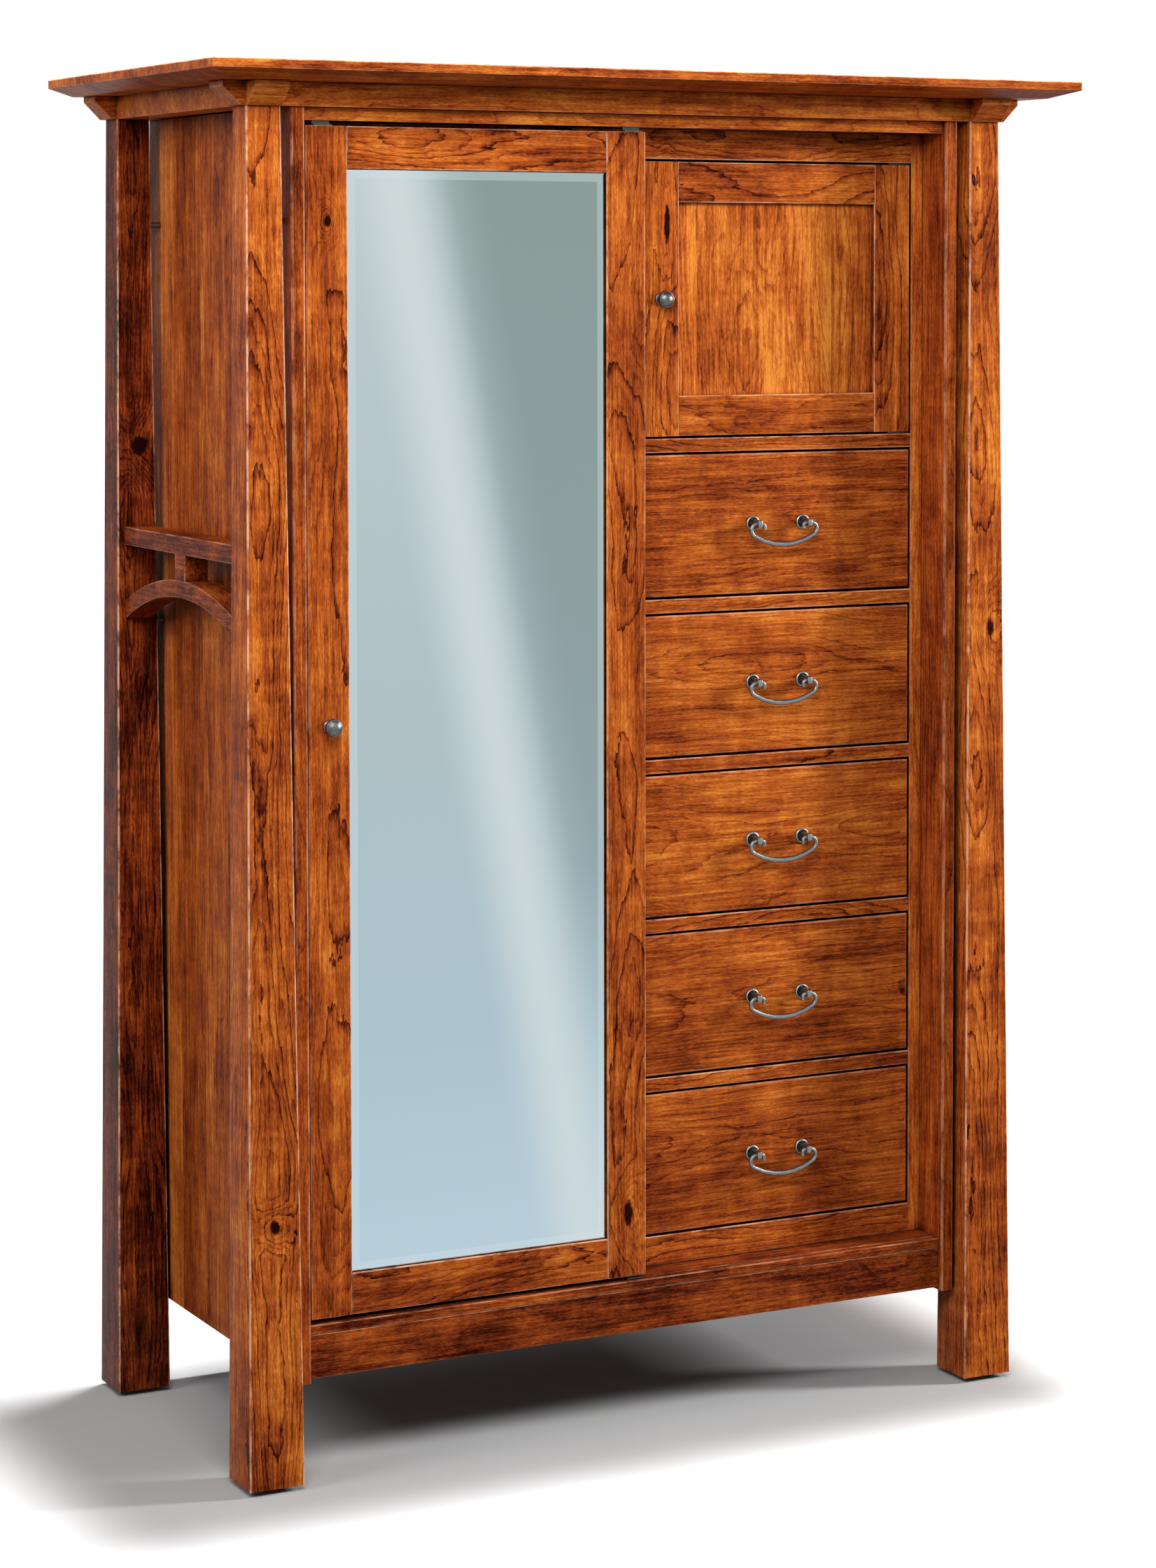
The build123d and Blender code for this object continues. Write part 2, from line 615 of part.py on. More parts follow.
def make_hinges():
    """Knife hinges: a leaf with a pin on the frame, and a leaf with a hole on the door."""
    z = cabinet_limits()[1]
    frame_leaves = []
    door_leaves = []
    length = REVEAL + HINGE_REACH
    for end, inward in ((z[0], 1.0), (z[1], -1.0)):
        near = sorted((end - inward * REVEAL, end - inward * (REVEAL - HINGE_LEAF)))
        leaf = board((HINGE_X - HINGE_LENGTH, STILE_SIDE), HINGE_LEAF_Y, near)
        pin_z = end - inward * (REVEAL - length / 2)
        frame_leaves.append(leaf + rod_along("Z", (HINGE_X, HINGE_Y, pin_z), HINGE_PIN, length))
        near = sorted((end, end - inward * HINGE_LEAF))
        leaf = board((HINGE_X - HINGE_LENGTH, HINGE_X + REVEAL), HINGE_LEAF_Y, near)
        door_leaves.append(leaf - hinge_hole(end))
    return frame_leaves, door_leaves


# ---- drawers ----
def make_drawer_front(low):
    x = (MIDDLE_STILE[1] + REVEAL, STILE_SIDE - REVEAL)
    z = (low + REVEAL, low + DRAWER_OPENING - REVEAL)
    return eased_face(board(x, (FACE, FACE_BACK), z), FRONT_ARRIS)


def make_drawer_box(low):
    """Two sides grooved for the base, a back between them, and the base."""
    x = (MIDDLE_STILE[1] + REVEAL + ROOM, STILE_SIDE - REVEAL - ROOM)
    y = (FACE_BACK, DRAWER_BACK)
    z = (low + ROOM, low + DRAWER_SIDE_HEIGHT)
    base_z = (z[0] + DRAWER_WALL, z[0] + DRAWER_WALL + DRAWER_BASE)
    tongue = DRAWER_WALL / 2
    base = board((x[0] + tongue, x[1] - tongue), y, base_z)
    sides = []
    for side in ((x[0], x[0] + DRAWER_WALL), (x[1] - DRAWER_WALL, x[1])):
        sides.append(board(side, y, z) - base)
    inner = (x[0] + DRAWER_WALL, x[1] - DRAWER_WALL)
    back = board(inner, (DRAWER_BACK - DRAWER_WALL, DRAWER_BACK), (base_z[1], z[1]))
    return sides + [back, base]


def make_pull(x, z):
    """Two round roses, each with a square post and an eye for the bail."""
    pieces = []
    for side in (-1.0, 1.0):
        centre = x + side * PULL_SPACING / 2
        rose = rod_along("Y", (centre, FACE - ROSETTE_THICK / 2, z), ROSETTE_RADIUS, ROSETTE_THICK)
        rose = fillet(rose.edges().sort_by(Axis.Y)[0], ROSETTE_ARRIS)
        post = board(
            (centre - POST / 2, centre + POST / 2),
            (FACE - POST_REACH, FACE - ROSETTE_THICK), (z - POST / 2 - 1.0, z + POST / 2 + 1.0))
        post = eased(post, Axis.X)
        eye = rod_along("X", (centre, FACE - PIVOT_OUT, z), BAIL_RADIUS + BAIL_FIT, 2 * POST)
        pieces.append(rose + post - eye)
    return pieces


def rod_path(points, radii, radius):
    """A round rod swept along straight runs joined by arcs."""
    path = FilletPolyline(*points, radius=radii)
    start = Plane(origin=path @ 0, z_dir=path % 0)
    return sweep(start * Circle(radius), path=path)


def make_bail(x, z):
    """A hanging loop whose thin ends pass through the posts and curl down inside them."""
    y = FACE - PIVOT_OUT
    half = PULL_SPACING / 2
    curl = half - BAIL_CURL
    side = half + BAIL_WIDEN
    parts = []
    for way in (-1.0, 1.0):
        ends = [
            (x + way * curl, y, z - BAIL_CURL), (x + way * curl, y, z),
            (x + way * side, y, z), (x + way * side, y, z - 16.0)]
        parts.append(rod_path(ends, [3.5, 7.0], BAIL_RADIUS))
    grip = [
        (x - side, y, z - 10.0), (x - side, y, z - 18.0), (x - side + 20.0, y, z - BAIL_DROP),
        (x + side - 20.0, y, z - BAIL_DROP), (x + side, y, z - 18.0), (x + side, y, z - 10.0)]
    loop = rod_path(grip, [6.0, 24.0, 24.0, 6.0], BAIL_GRIP_RADIUS)
    return parts[0] + loop + parts[1]


def make_case():
    """Every fixed part between the legs, by the name of its node."""
    wide = (-INSIDE, INSIDE)
    sill_back = FASCIA_FRONT + SILL_DEPTH
    right, left = left_and_right(make_side_panel())
    partition = board(PARTITION, (FACE_BACK, LINING_FACE), (DECK_TOP, CEILING))
    back = board(wide, (LINING_FACE, CASE_BACK), (APRON_BOTTOM, CROWN_BOTTOM))
    top = board(wide, (TRACK_Y + TRACK_WIDTH / 2, LINING_FACE), (CEILING, CROWN_BOTTOM))
    deck = board(wide, (sill_back, LINING_FACE), (DECK_BOTTOM, DECK_TOP))
    sill = board(wide, (FASCIA_FRONT, sill_back), (DECK_BOTTOM, SILL_TOP))
    apron = board(wide, (FASCIA_FRONT, FASCIA_FRONT + BOARD), (APRON_BOTTOM, DECK_BOTTOM))
    fascia = board(
        wide, (FASCIA_FRONT, FASCIA_FRONT + FASCIA_THICK), (FASCIA_BOTTOM, CROWN_BOTTOM))
    return {
        "side_panels": [drilled(left), right],
        "partition": [drilled(partition)],
        "case_back": [back],
        "case_top": [top],
        "case_bottom": [deck],
        "door_sill": [eased_front_edges(sill, Axis.X)],
        "bottom_apron": [apron],
        "track_fascia": [fascia],
        "door_track": [make_track()],
        "floor_guide": [make_floor_guide()],
        "cleats": make_cleats(),
        "face_stiles": make_face_stiles(),
        "face_rails": make_face_rails(),
        "drawer_runners": make_drawer_runners(),
        "shelves": make_shelves(),
        "shelf_pins": make_shelf_pins(),
        "necklace_rail": [make_necklace_rail()],
        "necklace_hooks": make_necklace_hooks(),
    }


def main():
    os.makedirs("parts", exist_ok=True)
    leg = make_leg()
    rear_leg = front_and_back(leg)[1]
    shelf, arch, post = make_side_frame(leg, rear_leg)
    save("top_board", [make_top_board()])
    save("crown_rails", make_crown_rails())
    save("front_legs", left_and_right(leg))
    save("rear_legs", left_and_right(rear_leg))
    save("glides", all_four(make_glide()))
    save("leg_bolts", [twin for bolt in make_leg_bolts(leg) for twin in all_four(bolt)])
    save("side_shelf_rails", left_and_right(shelf))
    save("side_arches", left_and_right(arch))
    save("side_posts", left_and_right(post))

    for name, parts in make_case().items():
        save(name, parts)

    stiles, rails = make_door_frame()
    save("door_stiles", stiles)
    save("door_rails", rails)
    save("mirror_glass", [make_mirror()])
    save("mirror_back", make_mirror_back())
    middle_z = (DOOR_BOTTOM + DOOR_TOP) / 2
    save("door_knob", [make_knob(DOOR_LEFT + DOOR_STILE / 2, DOOR_FRONT, middle_z)])
    save("door_hangers", [make_hanger(x) for x in HANGER_XS])
    save("roller_left", make_roller(HANGER_XS[0]))
    save("roller_right", make_roller(HANGER_XS[1]))

    frame, panel = make_cabinet_door()
    frame_leaves, door_leaves = make_hinges()
    cabinet_x, cabinet_z = cabinet_limits()
    save("cabinet_frame", frame)
    save("cabinet_panel", [panel])
    knob_x = cabinet_x[0] + CABINET_STILE / 2
    save("cabinet_knob", [make_knob(knob_x, FACE, sum(cabinet_z) / 2)])
    save("hinge_leaves_case", frame_leaves)
    save("hinge_leaves_door", door_leaves)

    pull_x = (MIDDLE_STILE[1] + STILE_SIDE) / 2
    for number in range(1, DRAWER_COUNT + 1):
        low = FIRST_RAIL_TOP + (DRAWER_COUNT - number) * PITCH
        pull_z = low + DRAWER_OPENING / 2
        save(f"drawer_{number}_front", [make_drawer_front(low)])
        save(f"drawer_{number}_box", make_drawer_box(low))
        save(f"pull_{number}", make_pull(pull_x, pull_z))
        save(f"bail_{number}", [make_bail(pull_x, pull_z)])


if __name__ == "__main__":
    main()
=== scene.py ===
# %% [markdown]
# # A jewelry armoire in cherry
# The joints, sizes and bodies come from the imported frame. This file gives the frame its
# looks: boards with grain that runs as it does in real boards, turned and cast hardware,
# a bevelled mirror, and a small studio to see them in.

# %% Load the frame
import json
import math
import random

import bmesh
import bpy
from mathutils import Matrix, Vector


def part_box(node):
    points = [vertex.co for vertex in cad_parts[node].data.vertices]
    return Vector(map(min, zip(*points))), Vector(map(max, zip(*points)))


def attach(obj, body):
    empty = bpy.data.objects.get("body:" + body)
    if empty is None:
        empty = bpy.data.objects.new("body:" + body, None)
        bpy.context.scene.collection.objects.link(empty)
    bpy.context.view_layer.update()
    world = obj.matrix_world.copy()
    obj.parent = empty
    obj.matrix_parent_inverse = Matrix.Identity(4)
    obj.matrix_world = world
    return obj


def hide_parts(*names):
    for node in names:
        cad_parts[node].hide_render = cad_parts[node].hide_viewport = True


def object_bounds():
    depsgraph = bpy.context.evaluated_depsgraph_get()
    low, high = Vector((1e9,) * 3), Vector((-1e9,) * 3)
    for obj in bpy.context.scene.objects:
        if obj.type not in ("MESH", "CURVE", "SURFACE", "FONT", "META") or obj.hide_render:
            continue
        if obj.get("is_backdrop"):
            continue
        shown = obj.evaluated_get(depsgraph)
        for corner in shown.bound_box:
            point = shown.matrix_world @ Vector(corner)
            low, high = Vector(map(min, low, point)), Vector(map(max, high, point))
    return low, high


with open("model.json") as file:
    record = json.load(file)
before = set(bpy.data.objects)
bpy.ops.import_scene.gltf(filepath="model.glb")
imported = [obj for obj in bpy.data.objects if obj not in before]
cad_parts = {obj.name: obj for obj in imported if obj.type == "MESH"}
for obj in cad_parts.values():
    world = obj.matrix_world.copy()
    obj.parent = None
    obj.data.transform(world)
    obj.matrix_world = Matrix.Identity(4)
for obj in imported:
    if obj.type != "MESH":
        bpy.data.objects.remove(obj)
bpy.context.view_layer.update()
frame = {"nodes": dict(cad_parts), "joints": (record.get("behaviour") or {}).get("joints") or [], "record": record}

MM = 0.001

# %% Which body and which finish each CAD node has
record = frame["record"]
BODY = {node: body for body, nodes in record["behaviour"]["bodies"].items() for node in nodes}
SLOT = {part["node"]: part["material_slot"] for part in record["subparts"]}
JOINT = {joint["name"]: joint for joint in frame["joints"]}

# %% [markdown]
# ## Short words for materials
# A material is a tree of nodes. Written out in full, each node takes four or five lines, so
# one helper adds a node, sets its options and wires its inputs. A number goes straight into
# a socket, and a socket that is passed in becomes a link.

# %% A helper for node trees
def add(tree, kind, inputs=(), **options):
    node = tree.nodes.new(kind)
    for option, value in options.items():
        setattr(node, option, value)
    for key, value in dict(inputs).items():
        if isinstance(value, bpy.types.NodeSocket):
            tree.links.new(value, node.inputs[key])
        else:
            node.inputs[key].default_value = value
    return node


def sums(tree, operation, *values, **options):
    """One Math node; the values are numbers or sockets."""
    return add(tree, "ShaderNodeMath", enumerate(values), operation=operation, **options).outputs[0]


def stretched(tree, place, x, y, z):
    """A place, scaled by a different amount along each axis."""
    node = add(tree, "ShaderNodeVectorMath", {0: place, 1: (x, y, z)}, operation="MULTIPLY")
    return node.outputs[0]


def noise(tree, place, scale=1.0, detail=2.0, roughness=0.5):
    inputs = {"Vector": place, "Scale": scale, "Detail": detail, "Roughness": roughness}
    return add(tree, "ShaderNodeTexNoise", inputs).outputs["Fac"]


def spread(tree, value, low, high, to_low=0.0, to_high=1.0):
    """Stretches the part of a value between two limits over a new range, with soft ends."""
    inputs = {0: value, 1: low, 2: high, 3: to_low, 4: to_high}
    return add(tree, "ShaderNodeMapRange", inputs, interpolation_type="SMOOTHSTEP").outputs[0]


def ramp(tree, value, stops):
    node = add(tree, "ShaderNodeValToRGB", {"Fac": value})
    elements = node.color_ramp.elements
    while len(elements) < len(stops):
        elements.new(0.5)
    for element, (position, colour) in zip(elements, stops):
        element.position = position
        element.color = (*colour, 1.0)
    return node.outputs["Color"]


def new_material(name):
    """An empty material: its tree and its Principled shader, joined to the output."""
    material = bpy.data.materials.new(name)
    material.use_nodes = True
    tree = material.node_tree
    tree.nodes.clear()
    shader = add(tree, "ShaderNodeBsdfPrincipled")
    output = add(tree, "ShaderNodeOutputMaterial")
    tree.links.new(shader.outputs[0], output.inputs["Surface"])
    return material, tree, shader


def finish_with(tree, shader, height=None, depth=0.0002, strength=1.0, **sockets):
    """Sets the shader's sockets, and turns a height into bump."""
    names = {
        "colour": "Base Color", "rough": "Roughness", "metal": "Metallic",
        "shine": "Specular IOR Level", "shine_tint": "Specular Tint"}
    for word, value in sockets.items():
        socket = shader.inputs[names[word]]
        if isinstance(value, bpy.types.NodeSocket):
            tree.links.new(value, socket)
        else:
            socket.default_value = value
    if height is not None:
        inputs = {"Height": height, "Strength": strength, "Distance": depth}
        bump = add(tree, "ShaderNodeBump", inputs)
        tree.links.new(bump.outputs[0], shader.inputs["Normal"])

# %% [markdown]
# ## Cherry wood
# A tree grows in rings round its heart, and a board shows where a saw cut through them. So
# the wood is not a picture stuck on each face: it is solid. Every board carries an attribute
# called log_place, which says where in the log each of its points was. X runs along the
# grain, and the heart of the tree is the line where Y and Z are zero. A board sawn flat
# passes close over the heart and shows arches, and a board far off to one side shows
# straight lines. The front and the edge of one board then agree, as they do in real wood.
#
# Several patterns are laid over one another: the rings, short dark pores and flecks, slow patches where the stain
# soaked in unevenly, and the ripple across the grain that cherry often has. Last come pale arrises, partly wear
# and partly a painted highlight, and painted shade in the crevices.

# %% Growth rings, pores, patches and ripple
RING = 5.2 * MM
CHERRY = [
    (0.00, (0.0130, 0.0024, 0.0012)),
    (0.24, (0.0950, 0.0135, 0.0048)),
    (0.50, (0.3000, 0.0540, 0.0105)),
    (0.74, (0.5600, 0.1300, 0.0190)),
    (1.00, (0.8400, 0.2900, 0.0440))]
# Pale colour along the arrises: partly wear, partly a painted highlight.
RUBBED_AND_HIGHLIGHT = (0.82, 0.44, 0.27, 1.0)
# Painted shade: the near-black laid into gaps and slots.
PAINTED_SHADE = (0.004, 0.0015, 0.001, 1.0)
PAINTED_SHADE_REACH = 16 * MM
SWAY = 100 * MM
SHIVER = 10 * MM
KNOT_PULL = 30 * MM
LATE_WOOD_POWER = 5.0
WOOD_SHINE = 0.035
WARM_SHINE = (1.0, 0.50, 0.25, 1.0)
# For each pattern: repeats per metre along the grain and across it, detail, roughness.
PATTERNS = {
    "sway": (2.6, 9.0, 1.0, 0.50),
    "shiver": (18.0, 70.0, 3.0, 0.60),
    "pores": (150.0, 780.0, 3.0, 0.65),
    "flecks": (14.0, 360.0, 3.0, 0.65),
    "streaks": (4.0, 130.0, 4.0, 0.65),
    "patches": (5.5, 17.0, 4.0, 0.62),
    "clouds": (22.0, 38.0, 4.0, 0.70),
    "ripple": (62.0, 12.0, 2.0, 0.50)}


def pattern(tree, place, name):
    """One of the patterns above, drawn out along the grain."""
    along, across, detail, roughness = PATTERNS[name]
    return noise(tree, stretched(tree, place, along, across, across), 1.0, detail, roughness)


def mixed(tree, share, first, second):
    """A colour between two, each a colour or a socket."""
    node = add(tree, "ShaderNodeMix", {"Factor": share, 6: first, 7: second}, data_type="RGBA")
    return node.outputs[2]


def painted_crevice_shade(tree):
    """Painted shade: how closed in a point is by nearby surfaces, read from ambient occlusion."""
    inputs = {"Distance": PAINTED_SHADE_REACH}
    open_sky = add(tree, "ShaderNodeAmbientOcclusion", inputs, samples=6).outputs["AO"]
    return spread(tree, open_sky, 0.22, 0.66, 0.97, 0.0)


def glued_staves(tree, place, width):
    """Cuts a wide panel into glued staves, each from another part of the log."""
    parts = add(tree, "ShaderNodeSeparateXYZ", {0: place})
    number = sums(tree, "FLOOR", sums(tree, "DIVIDE", parts.outputs["Y"], width))
    chance = add(tree, "ShaderNodeTexWhiteNoise", {"W": number}, noise_dimensions="1D")
    jump = stretched(tree, chance.outputs["Color"], 3.0, 0.05, 0.05)
    moved = add(tree, "ShaderNodeVectorMath", {0: place, 1: jump}, operation="ADD").outputs[0]
    return moved, sums(tree, "MULTIPLY", sums(tree, "SUBTRACT", chance.outputs["Value"], 0.5), 0.22)


def knot_round(tree, knots):
    """How much each point is pulled round the knots, and how deep it is in one."""
    place = add(tree, "ShaderNodeTexCoord").outputs["Object"]
    pull, core = None, None
    for centre, size in knots:
        gap = add(tree, "ShaderNodeVectorMath", {0: place, 1: centre}, operation="SUBTRACT").outputs[0]
        gap = stretched(tree, gap, *(1.0 / s for s in size))
        reach = add(tree, "ShaderNodeVectorMath", {0: gap}, operation="LENGTH").outputs["Value"]
        reach = sums(tree, "ADD", reach, sums(tree, "MULTIPLY", noise(tree, place, 160.0, 2.0), 0.7))
        near = spread(tree, reach, 0.3, 6.0, 1.0, 0.0)
        deep = spread(tree, reach, 0.9, 1.7, 1.0, 0.0)
        pull = near if pull is None else sums(tree, "ADD", pull, near)
        core = deep if core is None else sums(tree, "MAXIMUM", core, deep)
    return pull, core


def from_heart(tree, place):
    """How far a place in the log is from its heart."""
    parts = add(tree, "ShaderNodeSeparateXYZ", {0: place})
    squares = [sums(tree, "MULTIPLY", parts.outputs[axis], parts.outputs[axis]) for axis in "YZ"]
    return sums(tree, "SQRT", sums(tree, "ADD", *squares))


def late_wood(tree, radius):
    """The dark line that ends each ring: a little stronger in some years than in others."""
    turns = sums(tree, "DIVIDE", radius, RING)
    ring_number = sums(tree, "FLOOR", turns)
    year = add(tree, "ShaderNodeTexWhiteNoise", {"W": ring_number}, noise_dimensions="1D")
    line = sums(tree, "POWER", sums(tree, "FRACT", turns), LATE_WOOD_POWER)
    return sums(tree, "MULTIPLY", line, spread(tree, year.outputs["Value"], 0.0, 1.0, 0.2, 1.0))


def cherry(name, tone=0.0, staves=None, knots=(), stops=CHERRY, rings=1.0, ripples=1.0, rub_and_highlight=0.25):
    """A wood finish: tone lightens it, and the last three say how strong each effect is."""
    material, tree, shader = new_material(name)
    place = add(tree, "ShaderNodeAttribute", attribute_name="log_place").outputs["Vector"]
    board_tone = add(tree, "ShaderNodeAttribute", attribute_name="board_tone").outputs["Fac"]
    if staves:
        place, stave_tone = glued_staves(tree, place, staves)
        board_tone = sums(tree, "ADD", board_tone, stave_tone)
    radius = from_heart(tree, place)
    radius = sums(tree, "ADD", radius, sums(tree, "MULTIPLY", pattern(tree, place, "sway"), SWAY))
    radius = sums(tree, "ADD", radius, sums(tree, "MULTIPLY", pattern(tree, place, "shiver"), SHIVER))
    core = None
    if knots:
        pull, core = knot_round(tree, knots)
        radius = sums(tree, "ADD", radius, sums(tree, "MULTIPLY", pull, KNOT_PULL))
    pores = pattern(tree, place, "pores")
    clouds = pattern(tree, place, "clouds")

    value = sums(tree, "ADD", board_tone, 0.53 + tone)
    for layer, middle, amount in (
            (late_wood(tree, radius), 0.12, -0.42 * rings),
            (pores, 0.5, 0.80),
            (pattern(tree, place, "flecks"), 0.5, 0.80),
            (pattern(tree, place, "streaks"), 0.5, 0.70),
            (pattern(tree, place, "patches"), 0.5, 1.00),
            (clouds, 0.5, 0.42),
            (pattern(tree, place, "ripple"), 0.5, 0.22 * ripples)):
        lift = sums(tree, "MULTIPLY", sums(tree, "SUBTRACT", layer, middle), amount)
        value = sums(tree, "ADD", value, lift)
    if core is not None:
        value = sums(tree, "SUBTRACT", value, sums(tree, "MULTIPLY", core, 0.75))
    colour = ramp(tree, value, stops)

    # Pale arrises: partly wear, where the finish is rubbed thin, and partly a painted highlight.
    arris = add(tree, "ShaderNodeAttribute", attribute_name="arris").outputs["Fac"]
    worn_and_highlight = sums(tree, "MULTIPLY", arris, spread(tree, clouds, 0.38, 0.62, 0.2 * rub_and_highlight, 1.6 * rub_and_highlight))
    colour = mixed(tree, worn_and_highlight, colour, RUBBED_AND_HIGHLIGHT)
    # Painted shade: where nearby surfaces close a point in, the colour goes nearly black and the sheen goes away,
    # standing in for shade in gaps and slots.
    painted_shade_mask = painted_crevice_shade(tree)
    colour = mixed(tree, painted_shade_mask, colour, PAINTED_SHADE)
    rough = spread(tree, pores, 0.3, 0.7, 0.46, 0.34)
    shine = spread(tree, painted_shade_mask, 0.0, 0.9, WOOD_SHINE, 0.0)
    finish_with(
        tree, shader, height=pores, depth=0.12 * MM, strength=0.5, colour=colour,
        rough=rough, shine=shine, shine_tint=WARM_SHINE)
    return material

# %% [markdown]
# ## Boards out of the frame
# The frame already has the true shape of each board, but as loose triangles. A copy is merged, its flat faces are
# made whole again, and its sharp edges are eased a little, which is what catches the light along a real arris. The
# narrow faces along the arrises are marked, so that the finish can be rubbed thin there and a painted highlight
# laid along them. Then each separate board in the node gets its own place in the log. The grain runs along a
# board's longest side, unless told otherwise.

# %% Merge a copy, ease its edges, and place each board in the log
def islands(bm):
    """The vertices of each separate board, in the mesh's own order."""
    seen = set()
    for start in bm.verts:
        if start in seen:
            continue
        seen.add(start)
        found, waiting = [], [start]
        while waiting:
            vert = waiting.pop()
            found.append(vert)
            for edge in vert.link_edges:
                other = edge.other_vert(vert)
                if other not in seen:
                    seen.add(other)
                    waiting.append(other)
        yield found


def finished(bm, name, material, node, smooth_under=math.radians(9)):
    """Turns a bmesh into a piece that stands for a CAD node and rides on its body."""
    for face in bm.faces:
        face.smooth = True
    for edge in bm.edges:
        edge.smooth = edge.is_manifold and edge.calc_face_angle() < smooth_under
    mesh = bpy.data.meshes.new(name)
    bm.to_mesh(mesh)
    bm.free()
    mesh.materials.append(material)
    piece = bpy.data.objects.new(name, mesh)
    bpy.context.scene.collection.objects.link(piece)
    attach(piece, BODY[node])
    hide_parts(node)
    return piece


def mark_arrises(bm, widest=1.7 * MM):
    """Gives 1 to faces too narrow to be anything but the rounding of an edge, and 0 to others."""
    arris = bm.faces.layers.float.new("arris")
    for face in bm.faces:
        longest = max(edge.calc_length() for edge in face.edges)
        face[arris] = float(face.calc_area() / longest < widest)


def merge(bm, board_at=None):
    """Joins the loose triangles board by board, so that boards that touch stay apart."""
    if not board_at:
        bmesh.ops.remove_doubles(bm, verts=bm.verts, dist=1e-6)
        return
    bmesh.ops.split_edges(bm, edges=bm.edges)
    groups = {}
    for face in bm.faces:
        inside = face.calc_center_median() - face.normal * MM
        groups.setdefault(board_at(inside), []).extend(face.verts)
    for verts in groups.values():
        bmesh.ops.remove_doubles(bm, verts=verts, dist=1e-6)


EASE = 0.8 * MM
FLAT = math.radians(0.4)
SHARP = math.radians(40)
HEART_BELOW = (35, 75)


def sawn(node, material, grain=None, board_at=None, right_painted_light=0.0, aside=(-25, 25)):
    """Cuts a node's boards; aside says how far from the heart they are, in millimetres."""
    bm = bmesh.new()
    bm.from_mesh(frame["nodes"][node].data)
    merge(bm, board_at)
    bmesh.ops.dissolve_limit(
        bm, angle_limit=FLAT, verts=bm.verts, edges=bm.edges, use_dissolve_boundaries=False)
    sharp = [e for e in bm.edges if e.is_manifold and e.calc_face_angle() > SHARP]
    bmesh.ops.bevel(
        bm, geom=sharp, offset=EASE, offset_type="OFFSET", segments=2, profile=0.5,
        affect="EDGES", clamp_overlap=True, material=-1)
    mark_arrises(bm)
    log_place = bm.verts.layers.float_vector.new("log_place")
    board_tone = bm.verts.layers.float.new("board_tone")
    count = 0
    for count, board in enumerate(islands(bm), 1):
        low = Vector(min(v.co[i] for v in board) for i in range(3))
        high = Vector(max(v.co[i] for v in board) for i in range(3))
        size, middle = high - low, (high + low) / 2
        order = sorted(range(3), key=lambda i: -size[i])
        if grain is not None:
            order = [grain] + [i for i in order if i != grain]
        draw = random.Random(f"{node} {count}")
        start = Vector((
            draw.uniform(0, 40), draw.uniform(*aside) * MM, draw.uniform(*HEART_BELOW) * MM))
        # A board on the right may be painted lighter: painted light, standing in for light on the right-hand
        # panel's inner face.
        tone = draw.uniform(-0.06, 0.06) + (right_painted_light if middle.x > 0 else 0.0)
        for vert in board:
            offset = vert.co - middle
            vert[log_place] = start + Vector(offset[i] for i in order)
            vert[board_tone] = tone
    piece = finished(bm, f"{node}_sawn", material, node)
    print(f"{node}: {count} boards, {len(piece.data.polygons)} faces")

# %% [markdown]
# ## The cherry boards
# Real stock varies, so the finish is mixed a few times: legs with knots and strong arches, frames, wide panels
# glued from staves, drawer fronts, and the inside of the case, which is made darker. Some copies are painted light
# and shade: the rear legs are made darker as painted shade, and the face stiles, the crown rails and the fascia
# are made lighter as painted light. The knots stand where a maker would have let them show: on the legs and on
# three of the stiles. Each knot is a centre and its half sizes.

# %% Mix the cherry finishes
leg_low, leg_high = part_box("front_legs")
rear_low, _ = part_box("rear_legs")
cabinet_low, cabinet_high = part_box("cabinet_frame")
door_low, door_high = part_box("door_stiles")
LEG_KNOTS = [
    ((leg_low.x + 0.037, -0.2380, 0.339), (0.006, 0.02, 0.008)),
    ((leg_high.x - 0.029, -0.2210, 1.047), (0.007, 0.02, 0.015)),
    ((rear_low.x + 0.041, 0.2450, 1.302), (0.010, 0.02, 0.012))]
FRAME_KNOTS = [
    ((cabinet_low.x + 0.038, cabinet_low.y, 1.600), (0.004, 0.01, 0.024)),
    ((door_high.x - 0.026, door_low.y, 0.290), (0.006, 0.01, 0.016)),
    ((door_low.x + 0.030, door_low.y, 1.600), (0.004, 0.01, 0.007))]
leg_cherry = cherry("leg cherry", tone=0.0, knots=LEG_KNOTS, rings=1.5, ripples=1.6, rub_and_highlight=0.7)
# Painted shade: a darker copy for the rear legs, which stand in shade behind the case side.
rear_cherry_painted_shade = cherry("rear leg cherry, painted shade", tone=-0.30, knots=LEG_KNOTS, rings=1.3, rub_and_highlight=0.6)
frame_cherry = cherry("frame cherry", tone=0.0, knots=FRAME_KNOTS, rings=1.4, rub_and_highlight=0.5)
# Painted light: a lighter copy for the face stiles, standing in for light on them.
stile_cherry_painted_light = cherry("face stile cherry, painted light", tone=0.20)
panel_cherry = cherry("glued panel cherry", tone=-0.01, staves=0.088, rings=0.7)
top_cherry = cherry("top board cherry", tone=0.06, staves=0.088, rings=0.7)
front_cherry = cherry("drawer front cherry", tone=0.03, rings=0.9)
door_panel_cherry = cherry("bright panel cherry", tone=0.26, staves=0.105)
# Painted light: a lighter copy for the crown rails and fascia, standing in for light under the top board's
# overhang.
crown_cherry_painted_light = cherry("crown cherry, painted light", tone=0.17, rings=0.7)
trim_cherry = cherry("trim cherry", tone=-0.14, rings=0.7)
inside_cherry = cherry("inside cherry", tone=-0.14, staves=0.11, rings=0.6)

# %% [markdown]
# The four boards of the cabinet door's frame touch at their joints, and merging would make
# them one board with its grain all one way. So a rule says which board a place belongs to:
# the stiles run the full height, and the rails sit between them.

